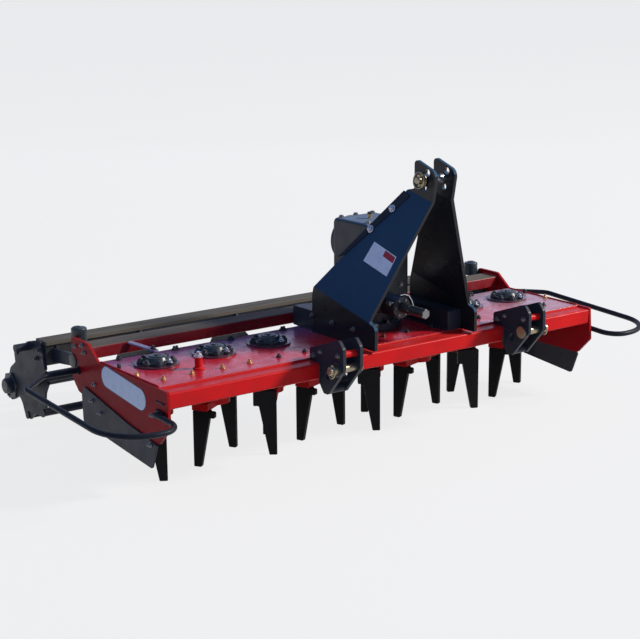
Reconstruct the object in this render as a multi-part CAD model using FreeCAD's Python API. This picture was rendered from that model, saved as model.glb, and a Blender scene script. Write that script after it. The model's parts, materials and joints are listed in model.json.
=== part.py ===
"""Mounted power harrow with eight vertical rotors and a rear cage roller.

Millimetres, +Z up.  X runs across the working width, -Y is the hitch side, +Y the roller side.
Shapes are drawn about the rotor line (X = 0 at mid width, Y = 0 on the rotor axes, Z = 0 at the
tine tips) and then moved along Y so that the origin is the bottom centre of the machine's box.
"""
import FreeCAD, Part
import math
import os

V = FreeCAD.Vector

# ---------------------------------------------------------------- driving dimensions
SHAFT_FIT = 0.05                 # radial, turning shafts and pivot pins
PIN_FIT = 0.06                   # radial, hitch pins
SEAT = 0.3                       # curved piece on its seat

# Rotors
ROTOR_COUNT = 8
ROTOR_PITCH = 222.5
TINE_ANGLES = (59.0, 32.5, 55.0, 21.0, 56.5, 17.5, 65.5, 28.5)  # each rotor's tine line, from +X
RUNNING_GAP = 6.0                # turning hub to fixed housing
SHAFT_R = 30.0
SHAFT_RISE = 28.0                # shaft length inside its housing
HUB_R = 50.0
HUB_HEIGHT = 12.0
HOLDER_WIDTH = 58.0
HOLDER_BOTTOM = 196.0
HOLDER_HEIGHT = 25.0
TINE_INNER_R = 107.0
TINE_THICK = 14.0
TINE_LEAD = 26.0                 # vertical leading edge, ahead of the radial line
TINE_TIP_WIDTH = 27.0
TINE_BLADE_WIDTH = 61.0          # blade where it leaves the head
TINE_HEAD_WIDTH = 80.0
TINE_HEAD_BOTTOM = 174.0
TINE_HEAD_STEP = 13.0            # clamping foot, inward from the blade
TINE_HEAD_RISE = 6.0             # head above the holder's top on the odd rotors

# Gear trough and deck
BEAM_TOP = 357.0
DECK_LIP = 6.0                   # deck above the front beam's top
DECK_THICK = 8.0
TROUGH_FRONT = -132.0
TROUGH_REAR = 135.0
TROUGH_BOTTOM = 270.0
TROUGH_CHAMFER = 28.0
HOUSING_R = 62.0
HOUSING_FLANGE_R = 86.0
HOUSING_FLANGE_THICK = 14.0

# Front beam
BEAM_FRONT = -305.0
BEAM_DEPTH = 60.0
BEAM_HEIGHT = 54.0
BEAM_CORNER_R = 7.0

# End plates, tower posts and deflectors
PLATE_THICK = 10.0
END_MARGIN = 34.0                # end plate's outer face beyond the last rotor's half pitch
PLATE_BOTTOM = 180.0
PLATE_NOSE = 8.0                 # end plate ahead of the front beam
PLATE_NOSE_Z = 243.0
TOWER_TOP = 415.0
TOWER_REAR = 318.0
TOWER_REAR_Z = 272.0             # lower rear corner
TOWER_BREAST = 203.0
TOWER_FRONT = 135.0
POST_R = 27.0
POST_HEIGHT = 50.0
POST_FOOT = 25.0                 # foot that joins the post to the end plate
POST_Y = 330.0
DEFLECTOR_THICK = 6.0
DEFLECTOR_BOTTOM = 90.0
DEFLECTOR_TOP = 262.0

# Side guard hoops
HOOP_R = 9.5
HOOP_Z = 294.4                   # bar's middle at the rotor line
HOOP_TILT = 2.9                  # degrees, nose down
HOOP_REACH = 241.7               # bar's middle, out from the end plate
HOOP_FRONT = -414.7
HOOP_REAR = 271.0
HOOP_START = -258.0
HOOP_LUG = 8.0
HOOP_LUG_LENGTH = 60.0
HOOP_REAR_CUT = 108.0            # slanting rear corner, in from the bar's middle
HOOP_REAR_SWEEP = 92.0           # and ahead of the rear end
HOOP_BENDS = (66.0, 152.0, 45.0, 45.0)

# Bearing covers on the deck
COVERED_ROTORS = (1, 2, 3, 7, 8)
BOSS_R = 76.0
BOSS_THICK = 6.0
COVER_R = 66.0
COVER_RIM = 9.0
COVER_LOBE_R = 13.0
COVER_LOBES = 8
COVER_DOME_R = 42.0
COVER_DOME_RISE = 13.0
COVER_DOME_TAPER = 7.0

# Headstock: rails, mast plates and top pin
MAST_THICK = 12.0
MAST_FOOT_X = 223.0              # middle of a mast plate at its foot, from the hitch line
MAST_EAR_X = 42.0                # middle of a mast plate at its ear
MAST_BEND_FALL = 0.2317          # both bend lines fall towards the tractor, per mm of Y
MAST_LOWER_BEND = 520.0          # bend heights where they cross the rotor line
MAST_UPPER_BEND = 952.0
MAST_FOOT_FRONT = -318.0
MAST_FOOT_FRONT_Z = 446.0
MAST_FOOT_REAR = 40.0
MAST_KNEE = 36.0                 # web's front edge starts behind the foot's front
MAST_BACK_RISE = 5.0             # foot's rear top above the lower bend line
EAR_FRONT = -414.0
EAR_SHOULDER = 20.0              # front edge leans forward over the shoulder
EAR_REAR = -302.0
EAR_HEIGHT = 48.0                # ear's top above the upper bend
EAR_FALL = 38.0                  # top edge falls towards the front
TOP_PIN_R = 12.7
TOP_PIN_SETBACK = 66.0           # from the ear's front edge
TOP_PIN_DROP = 68.0              # from the ear's top
TOP_PIN_PROUD = 30.0
SPARE_TOP_R = 12.85              # empty upper top-link hole
SPARE_TOP_SETBACK = 45.0
SPARE_TOP_DROP = 42.0
STOW_R = 11.0                    # empty hole under the pin
STOW_SETBACK = 58.0
STOW_DROP = 97.0
RAIL_WIDTH = 60.0
RAIL_TOP = 434.0
RAIL_FRONT = -245.0
RAIL_REAR = 173.0
RAIL_CORNER_R = 6.0

# Gearbox and input shaft
GEARBOX_HALF = 92.0
GEARBOX_FRONT = -106.0
GEARBOX_REAR = 100.0
GEARBOX_BOTTOM = 425.0
GEARBOX_TOP = 752.0
GEARBOX_CORNER_R = 22.0
NECK_R = 84.0
NECK_FLANGE_R = 112.0
NECK_FLANGE_THICK = 24.0
REAR_COVER_R = 86.0
REAR_COVER_THICK = 26.0
REAR_COVER_Z = 660.0
INPUT_Z = 458.0
INPUT_TIP = -311.0
INPUT_R = 17.45
INPUT_BOSS_R = 38.0
INPUT_BOSS_TIP = -181.0
INPUT_DEPTH = 60.0               # shaft length inside the boss
SPLINE_DEPTH = 2.6
SPLINE_WIDTH = 8.6
SPLINE_COUNT = 6
SPLINE_LENGTH = 80.0

# Lower hitch
LOWER_SPREAD = 820.0             # between the middles of the two clevises
CHEEK_GAP = 57.0
CHEEK_THICK = 12.0
CHEEK_TOP = 456.0
CHEEK_BOTTOM = 260.0
CHEEK_HEEL = 288.0               # cheek's bottom against the front beam
CHEEK_CHIN = 356.0               # lower end of the upright front edge
CHEEK_FRONT = -434.0
CHEEK_REAR = -250.0              # cheeks reach back over the front beam
CHEEK_REAR_TOP = 400.0
CHEEK_BACK_THICK = 12.0
CHEEK_FOOT_R = 14.0              # rounded foot across the bottom
CHEEK_FOOT_Y = -340.0
LOWER_PIN_R = 14.2
LOWER_PIN_Y = -402.0
LOWER_PIN_Z = 356.0
LOWER_PIN_PROUD = 34.0
SPACER_R = 12.0
SPACER_Y = -407.0
SPACER_Z = 404.0
SPARE_LOWER_R = 14.35            # empty lower hole of a clevis
SPARE_LOWER_Y = -350.0
SPARE_LOWER_Z = 326.0

# Rear member
MEMBER_FRONT = 200.0
MEMBER_DEPTH = 85.0
MEMBER_BOTTOM = 358.0
MEMBER_HEIGHT = 42.0
MEMBER_CORNER_R = 5.0

# Roller and its frame
PIVOT_Y = 285.0
PIVOT_Z = 331.0
PIVOT_R = 12.0
ARM_END_R = 20.0
ARM_THICK = 12.0
ARM_GAP = 6.0                    # arm to end plate
ARM_REAR_BOTTOM = 286.0
ARM_REAR_TOP = 336.0
STRIP_FRONT = 485.0              # flat strip along the top of the roller's frame
STRIP_DEPTH = 80.0
STRIP_TOP = 362.0
STRIP_THICK = 12.0
END_BOX_SETBACK = 7.0            # boxes under the strip's two ends
END_BOX_DEPTH = 60.0
END_BOX_LENGTH = 310.0
END_BOX_BOTTOM = 276.0
HANGER_GAP = 11.0                # hanger outside the end plate's outer face
HANGER_THICK = 12.0
HANGER_STUB_R = 14.0             # round stub on the outer face of a hanger
HANGER_STUB_LENGTH = 54.0
HANGER_STUB_SETBACK = 35.0       # behind the strip
HANGER_STUB_DROP = 34.0          # under the strip's top
ROLLER_Y = 761.0
BAR_R = 13.5
BAR_CIRCLE_R = 139.0
BAR_COUNT = 6
BAR_PHASE = 43.0                 # first bar, from +Y towards +Z
BAR_INSET = 58.0                 # bar ends inside the hangers
DISC_RIM = 8.0                   # ears of a disc beyond the bars' middles
DISC_EAR = 9.0                   # degrees, an ear's corners to each side of its bar
DISC_WAIST_R = 116.0             # between two ears
DISC_THICK = 8.0
DISC_COUNT = 5
DISC_INSET = 66.0                # outer discs inside the hangers
AXLE_TUBE_R = 25.0
AXLE_R = 18.0
BEARING_R = 28.0
BEARING_THICK = 28.0
BEARING_CAP = 6.0

# ---------------------------------------------------------------- sizes that follow
HITCH_X = ROTOR_PITCH / 2        # the gearbox stands between rotors 4 and 6, over rotor 5
HALF_WIDTH = ROTOR_COUNT * ROTOR_PITCH / 2 + END_MARGIN
PLATE_INNER = HALF_WIDTH - PLATE_THICK
DECK_TOP = BEAM_TOP + DECK_LIP
HOLDER_TOP = HOLDER_BOTTOM + HOLDER_HEIGHT
HUB_TOP = HOLDER_TOP + HUB_HEIGHT
HOUSING_BOTTOM = HUB_TOP + RUNNING_GAP
POST_X = -PLATE_INNER + POST_R
EAR_TOP = MAST_UPPER_BEND + EAR_HEIGHT
TOP_PIN_Y = EAR_FRONT + TOP_PIN_SETBACK
TOP_PIN_Z = EAR_TOP - TOP_PIN_DROP
SPARE_TOP_Y = EAR_FRONT + SPARE_TOP_SETBACK
SPARE_TOP_Z = EAR_TOP - SPARE_TOP_DROP
CHEEK_OUTER = CHEEK_GAP / 2 + CHEEK_THICK
RAIL_OUTER = MAST_FOOT_X - MAST_THICK / 2
HANGER_INNER = HALF_WIDTH + HANGER_GAP
HANGER_OUTER = HANGER_INNER + HANGER_THICK
BAR_HALF = HANGER_INNER - BAR_INSET
DISC_HALF = HANGER_INNER - DISC_INSET
DISC_R = BAR_CIRCLE_R + DISC_RIM
LOWEST_BAR = min(math.sin(math.radians(BAR_PHASE + 360 * i / BAR_COUNT)) for i in range(BAR_COUNT))
REARMOST_BAR = max(math.cos(math.radians(BAR_PHASE + 360 * i / BAR_COUNT)) for i in range(BAR_COUNT))
ROLLER_Z = BAR_R - BAR_CIRCLE_R * LOWEST_BAR
REACH_FRONT = CHEEK_FRONT
REACH_REAR = ROLLER_Y + BAR_CIRCLE_R * REARMOST_BAR + BAR_R
SHIFT_Y = -(REACH_FRONT + REACH_REAR) / 2


# ---------------------------------------------------------------- helpers
def box(x0, x1, y0, y1, z0, z1):
    """Box between two opposite corners."""
    return Part.makeBox(x1 - x0, y1 - y0, z1 - z0, V(x0, y0, z0))


def rod_x(r, x0, x1, y, z):
    """Round bar along X."""
    return Part.makeCylinder(r, x1 - x0, V(x0, y, z), V(1, 0, 0))


def rod_y(r, y0, y1, x, z):
    """Round bar along Y."""
    return Part.makeCylinder(r, y1 - y0, V(x, y0, z), V(0, 1, 0))


def rod_z(r, z0, z1, x, y):
    """Round bar along Z."""
    return Part.makeCylinder(r, z1 - z0, V(x, y, z0))


def fuse(shapes):
    """One solid out of pieces that touch or overlap."""
    return shapes[0].multiFuse(shapes[1:]).removeSplitter()


def rounded_wire(points, radii):
    """Closed wire through points in one plane, each corner rounded by its radius (0 = sharp)."""
    count = len(points)
    edges = []
    starts = []
    ends = []
    for i, corner in enumerate(points):
        before = (points[i - 1] - corner).normalize()
        after = (points[(i + 1) % count] - corner).normalize()
        half = before.getAngle(after) / 2
        run = radii[i] / math.tan(half)
        starts.append(corner + before * run)
        ends.append(corner + after * run)
        if radii[i] > 0:
            bisector = (before + after).normalize()
            middle = corner + bisector * (radii[i] / math.sin(half) - radii[i])
            edges.append(Part.Arc(starts[i], middle, ends[i]).toShape())
    for i in range(count):
        edges.append(Part.makeLine(ends[i], starts[(i + 1) % count]))
    return Part.Wire(Part.__sortEdges__(edges))


def side_plate(outline, x0, x1):
    """Plate across X from (y, z, corner radius) points."""
    points = [V(x0, y, z) for y, z, _ in outline]
    wire = rounded_wire(points, [r for _, _, r in outline])
    return Part.Face(wire).extrude(V(x1 - x0, 0, 0))


def bent_bar(points, bends, r):
    """Round bar along straight runs joined by tangent arcs."""
    edges = []
    start = points[0]
    for i, bend in enumerate(bends, 1):
        corner = points[i]
        before = (points[i - 1] - corner).normalize()
        after = (points[i + 1] - corner).normalize()
        half = before.getAngle(after) / 2
        run = bend / math.tan(half)
        bisector = (before + after).normalize()
        arc_start = corner + before * run
        arc_middle = corner + bisector * (bend / math.sin(half) - bend)
        arc_end = corner + after * run
        edges.append(Part.makeLine(start, arc_start))
        edges.append(Part.Arc(arc_start, arc_middle, arc_end).toShape())
        start = arc_end
    edges.append(Part.makeLine(start, points[-1]))
    section = Part.Wire(Part.makeCircle(r, points[0], points[1] - points[0]))
    return Part.Wire(edges).makePipeShell([section], True, True)


def other_side(shape):
    """The same shape on the right of X = 0."""
    return shape.mirror(V(0, 0, 0), V(1, 0, 0))


def moved_x(shape, x):
    """Copy of a shape moved along X."""
    copy = shape.copy()
    copy.translate(V(x, 0, 0))
    return copy


def rotor_x(number):
    """Axis of rotor 1 to ROTOR_COUNT."""
    return (number - (ROTOR_COUNT + 1) / 2) * ROTOR_PITCH


# ---------------------------------------------------------------- trough, deck and beams
def gear_trough():
    """Closed gear trough under the deck."""
    top = DECK_TOP - DECK_THICK
    knee = TROUGH_BOTTOM + TROUGH_CHAMFER
    outline = [(TROUGH_FRONT, top, 0), (TROUGH_FRONT, knee, 8),
               (TROUGH_FRONT + TROUGH_CHAMFER, TROUGH_BOTTOM, 8),
               (TROUGH_REAR - TROUGH_CHAMFER, TROUGH_BOTTOM, 8),
               (TROUGH_REAR, knee, 8), (TROUGH_REAR, top, 0)]
    return side_plate(outline, -PLATE_INNER, PLATE_INNER)


def deck():
    """Flat top plate with the raised rings that the bearing covers stand on."""
    pieces = [box(-PLATE_INNER, PLATE_INNER, BEAM_FRONT + BEAM_DEPTH, TROUGH_REAR,
                  DECK_TOP - DECK_THICK, DECK_TOP)]
    for number in COVERED_ROTORS:
        pieces.append(rod_z(BOSS_R, DECK_TOP - DECK_THICK / 2, DECK_TOP + BOSS_THICK,
                            rotor_x(number), 0))
    return fuse(pieces)


def front_beam():
    """Rectangular tube across the front of the deck, its ends closed by the end plates."""
    y1 = BEAM_FRONT + BEAM_DEPTH
    z0 = BEAM_TOP - BEAM_HEIGHT
    outline = [(BEAM_FRONT, z0, BEAM_CORNER_R), (y1, z0, BEAM_CORNER_R),
               (y1, BEAM_TOP, 0), (BEAM_FRONT, BEAM_TOP, BEAM_CORNER_R)]
    return side_plate(outline, -PLATE_INNER, PLATE_INNER)


def bearing_cover(x):
    """Cast cap: lobed bolting rim and low dome."""
    z0 = DECK_TOP + BOSS_THICK
    lobe_circle = COVER_R - COVER_LOBE_R
    pieces = [rod_z(lobe_circle, z0, z0 + COVER_RIM, x, 0)]
    for i in range(COVER_LOBES):
        angle = 2 * math.pi * (i + 0.5) / COVER_LOBES
        pieces.append(rod_z(COVER_LOBE_R, z0, z0 + COVER_RIM,
                            x + lobe_circle * math.cos(angle), lobe_circle * math.sin(angle)))
    pieces.append(Part.makeCone(COVER_DOME_R, COVER_DOME_R - COVER_DOME_TAPER,
                                COVER_DOME_RISE, V(x, 0, z0 + COVER_RIM)))
    return fuse(pieces)


def rotor_housing(x):
    """Flanged bearing housing under the trough, bored for the rotor's shaft."""
    body = rod_z(HOUSING_R, HOUSING_BOTTOM, TROUGH_BOTTOM, x, 0)
    flange = rod_z(HOUSING_FLANGE_R, TROUGH_BOTTOM - HOUSING_FLANGE_THICK, TROUGH_BOTTOM, x, 0)
    bore = rod_z(SHAFT_R + SHAFT_FIT, HOUSING_BOTTOM, HUB_TOP + SHAFT_RISE + RUNNING_GAP, x, 0)
    return fuse([body, flange]).cut(bore)


def rear_member():
    """Box section between the two towers."""
    y1 = MEMBER_FRONT + MEMBER_DEPTH
    z1 = MEMBER_BOTTOM + MEMBER_HEIGHT
    r = MEMBER_CORNER_R
    outline = [(MEMBER_FRONT, MEMBER_BOTTOM, r), (y1, MEMBER_BOTTOM, r), (y1, z1, r),
               (MEMBER_FRONT, z1, r)]
    return side_plate(outline, -PLATE_INNER, PLATE_INNER)


# ---------------------------------------------------------------- ends of the machine
def end_plate():
    """Left end plate with its rear tower, bored for the roller arm's pivot."""
    outline = [(BEAM_FRONT, DECK_TOP, 6), (BEAM_FRONT - PLATE_NOSE, PLATE_NOSE_Z, 12),
               (BEAM_FRONT + 55, PLATE_BOTTOM, 16), (TROUGH_REAR - 55, PLATE_BOTTOM, 60),
               (TROUGH_REAR + 10, PLATE_BOTTOM + 25, 30),
               (TOWER_REAR - 39, TOWER_REAR_Z - 39, 20), (TOWER_REAR, TOWER_REAR_Z, 14),
               (TOWER_REAR, TOWER_TOP, 12), (TOWER_BREAST, TOWER_TOP, 25),
               (TOWER_FRONT, DECK_TOP, 12)]
    plate = side_plate(outline, -HALF_WIDTH, -PLATE_INNER)
    return plate.cut(rod_x(PIVOT_R + SHAFT_FIT, -HALF_WIDTH, -PLATE_INNER, PIVOT_Y, PIVOT_Z))


def tower_post():
    """Round buffer post against the inside of the left tower, with the foot that carries it."""
    z0 = TOWER_TOP - POST_FOOT
    z1 = z0 + POST_HEIGHT
    post = rod_z(POST_R, z0, z1, POST_X, POST_Y)
    rim = [edge for edge in post.Edges if edge.BoundBox.ZMin > z1 - 1]
    foot = box(-PLATE_INNER, POST_X, POST_Y - POST_R, TOWER_REAR, z0, z0 + POST_FOOT - RUNNING_GAP)
    return fuse([post.makeFillet(5, rim), foot])


def deflector():
    """Soil deflector bolted low on the outside of the left end plate."""
    outline = [(BEAM_FRONT + 60, PLATE_BOTTOM - 4, 8), (BEAM_FRONT + 94, DEFLECTOR_BOTTOM, 12),
               (TROUGH_REAR + 3, DEFLECTOR_BOTTOM + 33, 20),
               (TOWER_REAR - 76, DEFLECTOR_BOTTOM + 44, 16),
               (TOWER_REAR - 72, DEFLECTOR_TOP - 30, 10), (TOWER_REAR - 88, DEFLECTOR_TOP, 10),
               (BEAM_FRONT + 245, PLATE_BOTTOM + 23, 30)]
    return side_plate(outline, -HALF_WIDTH - DEFLECTOR_THICK, -HALF_WIDTH)


def guard_hoop():
    """Left side guard, tilted nose down: one bent round bar on two welded lugs."""
    near = -HALF_WIDTH - HOOP_LUG - HOOP_R / 2
    far = -HALF_WIDTH - HOOP_REACH
    lug_face = -HALF_WIDTH - HOOP_LUG
    points = [V(near, HOOP_START, HOOP_Z), V(near, HOOP_FRONT, HOOP_Z), V(far, HOOP_FRONT, HOOP_Z),
              V(far, HOOP_REAR - HOOP_REAR_SWEEP, HOOP_Z), V(far + HOOP_REAR_CUT, HOOP_REAR, HOOP_Z),
              V(lug_face, HOOP_REAR, HOOP_Z)]
    bar = bent_bar(points, HOOP_BENDS, HOOP_R)
    lug_half = HOOP_R + 4
    front_lug = box(lug_face, -HALF_WIDTH, HOOP_START - HOOP_LUG_LENGTH / 2, HOOP_START + lug_half,
                    HOOP_Z - lug_half, HOOP_Z + lug_half)
    rear_lug = rod_x(lug_half, lug_face, -HALF_WIDTH, HOOP_REAR, HOOP_Z)
    hoop = fuse([bar, front_lug, rear_lug])
    hoop.rotate(V(0, 0, HOOP_Z), V(1, 0, 0), HOOP_TILT)
    return hoop


# ---------------------------------------------------------------- headstock
def mast_plate():
    """Left mast plate: upright foot, leaning web and upright ear, bent on two sloping lines."""
    half = MAST_THICK / 2
    rise = MAST_UPPER_BEND - MAST_LOWER_BEND
    mitre = half * math.tan(math.atan2(MAST_FOOT_X - MAST_EAR_X, rise) / 2)
    y0 = EAR_FRONT
    lower = MAST_LOWER_BEND + y0 * MAST_BEND_FALL
    upper = MAST_UPPER_BEND + y0 * MAST_BEND_FALL
    run = MAST_FOOT_REAR - y0
    bottom = DECK_TOP - run * MAST_BEND_FALL
    outer_foot = -MAST_FOOT_X - half
    inner_foot = -MAST_FOOT_X + half
    outer_ear = -MAST_EAR_X - half
    inner_ear = -MAST_EAR_X + half
    profile = [V(outer_foot, y0, bottom), V(outer_foot, y0, lower + mitre),
               V(outer_ear, y0, upper + mitre), V(outer_ear, y0, EAR_TOP),
               V(inner_ear, y0, EAR_TOP), V(inner_ear, y0, upper - mitre),
               V(inner_foot, y0, lower - mitre), V(inner_foot, y0, bottom)]
    bent = Part.Face(Part.makePolygon(profile + profile[:1])).extrude(V(0, run, run * MAST_BEND_FALL))
    knee_y = MAST_FOOT_FRONT + MAST_KNEE
    knee_z = MAST_LOWER_BEND + knee_y * MAST_BEND_FALL
    shoulder_y = EAR_FRONT + EAR_SHOULDER
    shoulder_z = MAST_UPPER_BEND + shoulder_y * MAST_BEND_FALL
    back_y = EAR_REAR + 36
    back_z = MAST_UPPER_BEND + back_y * MAST_BEND_FALL
    foot_z = MAST_LOWER_BEND + MAST_BACK_RISE
    outline = [(MAST_FOOT_FRONT, DECK_TOP, 4), (MAST_FOOT_FRONT, MAST_FOOT_FRONT_Z, 22),
               (knee_y, knee_z, 12), (shoulder_y, shoulder_z, 30),
               (EAR_FRONT, EAR_TOP - EAR_FALL, 30), (EAR_REAR, EAR_TOP, 14),
               (EAR_REAR, back_z + 8, 8), (back_y, back_z, 6), (MAST_FOOT_REAR - 8, foot_z, 14),
               (MAST_FOOT_REAR, foot_z - 30, 8), (MAST_FOOT_REAR, DECK_TOP, 0)]
    plate = bent.common(side_plate(outline, outer_foot, inner_ear))
    holes = [rod_x(TOP_PIN_R + PIN_FIT, outer_foot, inner_ear, TOP_PIN_Y, TOP_PIN_Z),
             rod_x(SPARE_TOP_R, outer_foot, inner_ear, SPARE_TOP_Y, SPARE_TOP_Z),
             rod_x(STOW_R, outer_foot, inner_ear, EAR_FRONT + STOW_SETBACK, EAR_TOP - STOW_DROP)]
    for hole in holes:
        plate = plate.cut(hole)
    return plate


def top_link_pin():
    """Pin through both ears with a head on the right and a chamfered tip on the left."""
    reach = MAST_EAR_X + MAST_THICK / 2
    pin = rod_x(TOP_PIN_R, -reach - TOP_PIN_PROUD, reach, TOP_PIN_Y, TOP_PIN_Z)
    tip = [edge for edge in pin.Edges if edge.BoundBox.XMax < -reach - TOP_PIN_PROUD + 1]
    head = rod_x(TOP_PIN_R + 7, reach, reach + 9, TOP_PIN_Y, TOP_PIN_Z)
    return fuse([pin.makeChamfer(3, tip), head])


def mast_rail():
    """Left box rail along the deck that the mast plate is bolted to."""
    outline = [(RAIL_FRONT, DECK_TOP, 0), (RAIL_REAR, DECK_TOP, 0),
               (RAIL_REAR, RAIL_TOP, RAIL_CORNER_R), (RAIL_FRONT, RAIL_TOP, RAIL_CORNER_R)]
    return side_plate(outline, -RAIL_OUTER, -RAIL_OUTER + RAIL_WIDTH)


# ---------------------------------------------------------------- gearbox
def gearbox():
    """Casting on a round flanged neck, with a front boss bored for the input shaft."""
    outline = [(GEARBOX_FRONT, GEARBOX_BOTTOM, GEARBOX_CORNER_R),
               (GEARBOX_REAR, GEARBOX_BOTTOM, GEARBOX_CORNER_R),
               (GEARBOX_REAR, GEARBOX_TOP, GEARBOX_CORNER_R),
               (GEARBOX_FRONT, GEARBOX_TOP, GEARBOX_CORNER_R)]
    case = side_plate(outline, -GEARBOX_HALF, GEARBOX_HALF)
    upright = [edge for edge in case.Edges
               if edge.BoundBox.ZLength > GEARBOX_TOP - GEARBOX_BOTTOM - 3 * GEARBOX_CORNER_R]
    case = case.makeFillet(GEARBOX_CORNER_R / 2, upright)
    flange = rod_z(NECK_FLANGE_R, DECK_TOP, DECK_TOP + NECK_FLANGE_THICK, 0, 0)
    neck = rod_z(NECK_R, DECK_TOP, GEARBOX_BOTTOM + GEARBOX_CORNER_R, 0, 0)
    boss = rod_y(INPUT_BOSS_R, INPUT_BOSS_TIP, 0, 0, INPUT_Z)
    bore = rod_y(INPUT_R + SHAFT_FIT, INPUT_BOSS_TIP,
                 INPUT_BOSS_TIP + INPUT_DEPTH + RUNNING_GAP, 0, INPUT_Z)
    return fuse([case, flange, neck, boss]).cut(bore)


def gearbox_cover():
    """Domed round cover on the gearbox's rear face."""
    tip = GEARBOX_REAR + REAR_COVER_THICK
    cover = rod_y(REAR_COVER_R, GEARBOX_REAR, tip, 0, REAR_COVER_Z)
    rim = [edge for edge in cover.Edges if edge.BoundBox.YMin > tip - 1]
    return cover.makeFillet(REAR_COVER_THICK / 3, rim)


def pto_shaft():
    """Splined input shaft."""
    shaft = rod_y(INPUT_R, INPUT_TIP, INPUT_BOSS_TIP + INPUT_DEPTH, 0, INPUT_Z)
    tip = [edge for edge in shaft.Edges if edge.BoundBox.YMax < INPUT_TIP + 1]
    shaft = shaft.makeChamfer(2, tip)
    core = rod_y(INPUT_R - SPLINE_DEPTH, INPUT_TIP - 1, INPUT_TIP + SPLINE_LENGTH, 0, INPUT_Z)
    rough = rod_y(INPUT_R + 1, INPUT_TIP - 1, INPUT_TIP + SPLINE_LENGTH, 0, INPUT_Z)
    teeth = []
    for i in range(SPLINE_COUNT // 2):
        tooth = box(-SPLINE_WIDTH / 2, SPLINE_WIDTH / 2, INPUT_TIP - 1, INPUT_TIP + SPLINE_LENGTH,
                    INPUT_Z - INPUT_R - 1, INPUT_Z + INPUT_R + 1)
        tooth.rotate(V(0, 0, INPUT_Z), V(0, 1, 0), 360 * i / SPLINE_COUNT)
        teeth.append(tooth)
    return shaft.cut(rough.cut(fuse([core] + teeth)))


# ---------------------------------------------------------------- lower hitch
def lower_clevis():
    """Two cheeks that hook over the front beam, their back plate and the rounded foot."""
    back = BEAM_FRONT - CHEEK_BACK_THICK
    outline = [(BEAM_FRONT, CHEEK_HEEL, 4), (CHEEK_FOOT_Y + CHEEK_FOOT_R, CHEEK_BOTTOM, 12),
               (CHEEK_FOOT_Y - 10, CHEEK_BOTTOM, 10), (CHEEK_FRONT, CHEEK_CHIN, 22),
               (CHEEK_FRONT, CHEEK_TOP - 28, 22), (CHEEK_FRONT + 26, CHEEK_TOP, 14),
               (CHEEK_REAR, CHEEK_REAR_TOP, 12),
               (CHEEK_REAR, BEAM_TOP, 0), (BEAM_FRONT, BEAM_TOP, 0)]
    cheek = side_plate(outline, -CHEEK_OUTER, -CHEEK_GAP / 2)
    holes = [rod_x(LOWER_PIN_R + PIN_FIT, -CHEEK_OUTER, -CHEEK_GAP / 2, LOWER_PIN_Y, LOWER_PIN_Z),
             rod_x(SPARE_LOWER_R, -CHEEK_OUTER, -CHEEK_GAP / 2, SPARE_LOWER_Y, SPARE_LOWER_Z)]
    for hole in holes:
        cheek = cheek.cut(hole)
    plate = box(-CHEEK_OUTER, CHEEK_OUTER, back, BEAM_FRONT, CHEEK_HEEL, BEAM_TOP - 4)
    foot = rod_x(CHEEK_FOOT_R, -CHEEK_GAP / 2, CHEEK_GAP / 2, CHEEK_FOOT_Y,
                 CHEEK_BOTTOM + CHEEK_FOOT_R)
    return fuse([cheek, other_side(cheek), plate, foot])


def clevis_spacer():
    """Round spacer across the top of a clevis."""
    return rod_x(SPACER_R, -CHEEK_GAP / 2, CHEEK_GAP / 2, SPACER_Y, SPACER_Z)


def lower_pin():
    """Hitch pin through one clevis, head on the inner side."""
    pin = rod_x(LOWER_PIN_R, -CHEEK_OUTER - LOWER_PIN_PROUD, CHEEK_OUTER, LOWER_PIN_Y, LOWER_PIN_Z)
    tip = [edge for edge in pin.Edges if edge.BoundBox.XMax < -CHEEK_OUTER - LOWER_PIN_PROUD + 1]
    head = rod_x(LOWER_PIN_R + 7, CHEEK_OUTER, CHEEK_OUTER + 9, LOWER_PIN_Y, LOWER_PIN_Z)
    return fuse([pin.makeChamfer(3, tip), head])


# ---------------------------------------------------------------- rotors
def rotor(number):
    """Hub, shaft and tine holder of one rotor; on the even rotors the holder covers the tines."""
    x = rotor_x(number)
    reach = TINE_INNER_R if number % 2 else TINE_INNER_R + TINE_THICK
    shaft = rod_z(SHAFT_R, HOLDER_TOP, HUB_TOP + SHAFT_RISE, x, 0)
    hub = rod_z(HUB_R, HOLDER_BOTTOM, HUB_TOP, x, 0)
    bar = box(x - reach, x + reach, -HOLDER_WIDTH / 2, HOLDER_WIDTH / 2, HOLDER_BOTTOM, HOLDER_TOP)
    whole = fuse([hub, shaft, bar])
    whole.rotate(V(x, 0, 0), V(0, 0, 1), TINE_ANGLES[number - 1])
    return whole


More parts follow.
